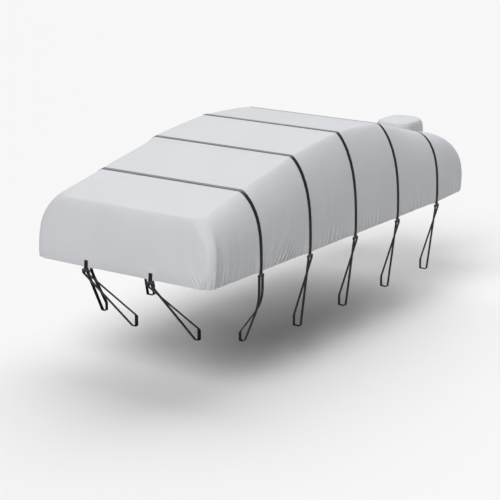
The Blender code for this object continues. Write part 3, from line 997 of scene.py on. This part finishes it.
def split_axes(tree, vector):
    """Outputs X, Y and Z of a vector."""
    return fill(tree, tree.nodes.new("ShaderNodeSeparateXYZ"), {"Vector": vector}).outputs


def ramp(tree, value, dark, light, low=0.0, high=1.0):
    """Colour between dark and light for a value between low and high."""
    node = fill(tree, tree.nodes.new("ShaderNodeValToRGB"), {"Fac": value})
    for stop, place, colour in zip(node.color_ramp.elements, (low, high), (dark, light)):
        stop.position = place
        stop.color = (*colour, 1.0)
    return node.outputs["Color"]


def mix_colour(tree, share, colour, plain):
    """Colour from a socket, mixed with a plain one by a share."""
    node = tree.nodes.new("ShaderNodeMix")
    node.data_type = "RGBA"
    return fill(tree, node, {"Factor": share, "A": colour, "B": (*plain, 1.0)}).outputs["Result"]


def bump(tree, height, depth, before=None):
    """Normal raised by a height of the given depth in metres, over an earlier normal if any."""
    node = tree.nodes.new("ShaderNodeBump")
    fill(tree, node, {"Height": height, "Distance": depth, "Strength": 1.0})
    if before is not None:
        fill(tree, node, {"Normal": before})
    return node.outputs["Normal"]


def node_group(name, inputs, outputs):
    """Empty shader node group with named sockets, its two end nodes and a maker of math nodes."""
    group = bpy.data.node_groups.new(name, "ShaderNodeTree")
    for label, value in inputs.items():
        kind = "NodeSocketVector" if value is None else "NodeSocketFloat"
        socket = group.interface.new_socket(name=label, in_out="INPUT", socket_type=kind)
        if value is not None:
            socket.default_value = value
    for label in outputs:
        group.interface.new_socket(name=label, in_out="OUTPUT", socket_type="NodeSocketFloat")
    given = group.nodes.new("NodeGroupInput").outputs
    return group, given, group.nodes.new("NodeGroupOutput"), partial(math_node, group)


def make_plain_weave():
    """Threads one over, one under, at a pitch in metres of the piece's own layout."""
    group, given, result, calc = node_group(
        "plain weave", {"Layout": None, "Pitch": 0.001}, ["Height"]
    )
    layout = split_axes(group, given["Layout"])
    turns = calc("DIVIDE", math.pi, given["Pitch"])
    warp = calc("MULTIPLY", layout["X"], turns)
    weft = calc("MULTIPLY", layout["Y"], turns)
    crossing = calc("MULTIPLY", calc("SINE", warp), calc("SINE", weft))
    round_warp = calc("ABSOLUTE", calc("COSINE", warp))
    round_weft = calc("ABSOLUTE", calc("COSINE", weft))
    body = calc("MULTIPLY", round_warp, round_weft)
    fill(group, result, {"Height": calc("ADD", calc("MULTIPLY", crossing, CLOTH_CROSSING), body)})
    return group


def make_webbing_weave():
    """Cords along the webbing, a herringbone of threads over them, and wear on the selvedges."""
    group, given, result, calc = node_group(
        "webbing weave", {"Layout": None, "Rib": STRAP_RIB}, ["Height", "Wear"]
    )
    layout = split_axes(group, given["Layout"])
    cords = calc("SINE", calc("MULTIPLY", layout["X"], 2 * math.pi * WEBBING_CORDS))
    run = calc("MULTIPLY", layout["Y"], calc("DIVIDE", 2 * math.pi, given["Rib"]))
    herringbone = calc("SINE", calc("ADD", run, calc("MULTIPLY", cords, HERRINGBONE)))
    from_middle = calc("ABSOLUTE", calc("SUBTRACT", layout["X"], 0.5))
    edge = calc("POWER", from_middle, SELVEDGE_POWER)
    fill(group, result, {
        "Height": calc("ADD", calc("MULTIPLY", cords, CORD_HEIGHT), herringbone),
        "Wear": calc("MULTIPLY", edge, 2 ** SELVEDGE_POWER),
    })
    return group


def make_stitch_row():
    """Dashes of thread along the layout at one height."""
    group, given, result, calc = node_group(
        "stitch row", {"Layout": None, "Height": HEM_DEPTH, "Length": STITCH_LENGTH}, ["Thread"]
    )
    layout = split_axes(group, given["Layout"])
    off = calc("ABSOLUTE", calc("SUBTRACT", layout["Y"], given["Height"]))
    turns = calc("DIVIDE", 2 * math.pi, given["Length"])
    wave = calc("SINE", calc("MULTIPLY", layout["X"], turns))
    near = calc("LESS_THAN", off, STITCH_HALF_WIDTH)
    dash = calc("GREATER_THAN", wave, STITCH_GAP)
    fill(group, result, {"Thread": calc("MULTIPLY", near, dash)})
    return group


def make_handling():
    """Faint crumple and soiling over a piece: a height for the crumple and a tone for the dirt."""
    group, given, result, _ = node_group(
        "handling", {"Place": None, "Size": 4.0}, ["Crumple", "Tone"]
    )
    fill(group, result, {
        "Crumple": noise_node(group, given["Place"], given["Size"], detail=5.0, rough=0.45),
        "Tone": noise_node(group, given["Place"], scale=1.3, detail=3.0, rough=0.6),
    })
    return group


def place_group(tree, group, **inputs):
    """Outputs of a group placed in a material with its own values."""
    node = tree.nodes.new("ShaderNodeGroup")
    node.node_tree = group
    return fill(tree, node, inputs).outputs


def new_material(name):
    """Material with its node tree, its Principled shader, and where a point of the piece is."""
    material = bpy.data.materials.new(name)
    material.use_nodes = True
    tree = material.node_tree
    where = tree.nodes.new("ShaderNodeTexCoord").outputs
    return material, tree, tree.nodes["Principled BSDF"], where


def coated_cloth(name, groups, stitched):
    """Light grey coated polyester: fine plain weave, faint crumple, hem stitches in grey thread."""
    material, tree, shader, where = new_material(name)
    weave = place_group(tree, groups["weave"], Layout=where["UV"], Pitch=CLOTH_PITCH)
    handling = place_group(tree, groups["handling"], Place=where["Object"], Size=5.0)
    tone = ramp(tree, handling["Tone"], CLOTH_DARK, CLOTH_LIGHT, low=0.30, high=0.70)
    normal = bump(tree, handling["Crumple"], depth=0.006)
    normal = bump(tree, weave["Height"], depth=0.00006, before=normal)
    if stitched:
        stitches = place_group(tree, groups["stitches"], Layout=where["UV"])
        tone = mix_colour(tree, stitches["Thread"], tone, STITCH_GREY)
        normal = bump(tree, stitches["Thread"], depth=0.0005, before=normal)
    fill(tree, shader, {
        "Base Color": tone, "Roughness": 0.62, "Normal": normal,
        "Sheen Weight": 0.08, "Sheen Roughness": 0.5,
    })
    return material


def painted_sheen_and_fade(tree, normal, tone):
    """Tone of the webbing turned grey where it lies face up: painted sheen of the light on its top,
    with some real sun fading.
    """
    # Share of painted sheen, rising as the normal turns up.
    face_up_share = tree.nodes.new("ShaderNodeMapRange")
    face_up_share.interpolation_type = "SMOOTHSTEP"
    low, high = FACING_UP
    fill(tree, face_up_share, {"Value": split_axes(tree, normal)["Z"], "From Min": low, "From Max": high})
    return mix_colour(tree, face_up_share.outputs["Result"], tone, WEBBING_SHEEN_AND_FADE)


def black_webbing(name, groups, rib, sheen_and_fade_on_top):
    """Black woven webbing, a little greyer on its worn selvedges."""
    material, tree, shader, where = new_material(name)
    weave = place_group(tree, groups["webbing"], Layout=where["UV"], Rib=rib)
    tone = ramp(tree, weave["Wear"], WEBBING_DARK, WEBBING_WORN)
    # Painted sheen: the webbing's top turns grey where its normal faces up, with some real sun
    # fading.
    if sheen_and_fade_on_top:
        tone = painted_sheen_and_fade(tree, where["Normal"], tone)
    fill(tree, shader, {
        "Base Color": tone, "Roughness": 0.60, "Specular IOR Level": 0.20,
        "Normal": bump(tree, weave["Height"], depth=0.0003),
        "Sheen Weight": 0.05, "Sheen Roughness": 0.15,
    })
    return material


def black_plastic(name, groups):
    """Moulded black plastic with a fine spark-eroded grain."""
    material, tree, shader, where = new_material(name)
    handling = place_group(tree, groups["handling"], Place=where["Object"], Size=900.0)
    tone = ramp(tree, handling["Tone"], PLASTIC_DARK, PLASTIC_LIGHT, low=0.3, high=0.7)
    grain = bump(tree, handling["Crumple"], depth=0.0001)
    fill(tree, shader, {"Base Color": tone, "Roughness": 0.42, "Normal": grain})
    return material


def build_cover_set():
    """Every piece of the set, the two sheets of cloth among them."""
    groups = {
        "weave": make_plain_weave(),
        "webbing": make_webbing_weave(),
        "stitches": make_stitch_row(),
        "handling": make_handling(),
    }
    cloth = coated_cloth("light grey coated polyester", groups, stitched=True)
    hood_cloth = coated_cloth("light grey hood polyester", groups, stitched=False)
    # The over-straps carry the painted sheen on their tops; the tie-down loops don't.
    webbing = black_webbing("black sewn webbing", groups, STRAP_RIB, sheen_and_fade_on_top=True)
    tie_webbing = black_webbing("black tie-down webbing", groups, TIE_DOWN_RIB, sheen_and_fade_on_top=False)
    plastic = black_plastic("moulded black plastic", groups)

    cover, rows, lines = build_boat_cover(cloth)
    hood = build_motor_hood(hood_cloth)
    for number, (x, loop) in enumerate(zip(STRAPS, SIDE_LOOPS), 1):
        build_over_strap(number, x, rows, lines, webbing)
        for side, sign in SIDES:
            place = side_place(x, sign)
            end = f"{side}_{number}"
            build_buckle(f"hem_buckle_plate_{end}", plastic, place, f"hem_buckle_{end}")
            build_tie_down(
                f"tie_down_loop_{end}", loop, tie_webbing, Vector((1.0, 0.0, 0.0)), place,
                f"tie_down_{end}",
            )
    for side, sign in SIDES:
        build_bow_tab(side, sign, rows, webbing)
        place = bow_place(sign)
        build_buckle(f"bow_buckle_plate_{side}", plastic, place, f"bow_buckle_{side}")
        build_tie_down(
            f"bow_tie_down_loop_{side}", BOW_LOOP, tie_webbing, Vector((0.0, 1.0, 0.0)), place,
            f"bow_tie_down_{side}",
        )


def build_floor():
    """Plain pale floor, which isn't part of the set."""
    bm = bmesh.new()
    bmesh.ops.create_grid(bm, x_segments=1, y_segments=1, size=FLOOR_HALF)
    bmesh.ops.translate(bm, vec=(0.0, 0.0, -GROUND), verts=bm.verts)
    bmesh.ops.transform(bm, matrix=hem_plane, verts=bm.verts)
    mesh = bpy.data.meshes.new("studio_floor")
    bm.to_mesh(mesh)
    bm.free()
    material, tree, shader, _ = new_material("pale floor")
    fill(tree, shader, {"Base Color": (*FLOOR_GREY, 1.0), "Roughness": 0.9})
    mesh.materials.append(material)
    floor = new_object("studio_floor", mesh)


def build_lamp(lamp):
    """Broad lamp that shines along its heading."""
    light = bpy.data.lights.new(lamp.name, "SUN")
    light.energy = lamp.strength
    light.angle = math.radians(lamp.spread)
    holder = new_object(lamp.name, light)
    holder.rotation_euler = Vector(lamp.heading).to_track_quat("-Z", "Y").to_euler()


def build_camera():
    """Camera off the port bow."""
    lens = bpy.data.cameras.new("camera")
    lens.lens = CAMERA_LENS
    lens.sensor_width = CAMERA_SENSOR
    lens.clip_end = CAMERA_REACH
    camera = new_object("camera", lens)
    camera.location = hem_plane @ Vector(CAMERA_PLACE)
    camera.rotation_euler = (math.radians(CAMERA_TILT), 0.0, math.radians(CAMERA_TURN))
    bpy.context.scene.camera = camera


def build_studio():
    """Floor, sky, lamps and camera."""
    build_floor()
    scene = bpy.context.scene
    scene.view_settings.view_transform = "Standard"
    world = bpy.data.worlds.new("pale studio")
    world.use_nodes = True
    sky = {"Color": (1.0, 1.0, 1.0, 1.0), "Strength": SKY_STRENGTH}
    fill(world.node_tree, world.node_tree.nodes["Background"], sky)
    scene.world = world
    for lamp in LAMPS:
        build_lamp(lamp)
    build_camera()


build_cover_set()
build_studio()
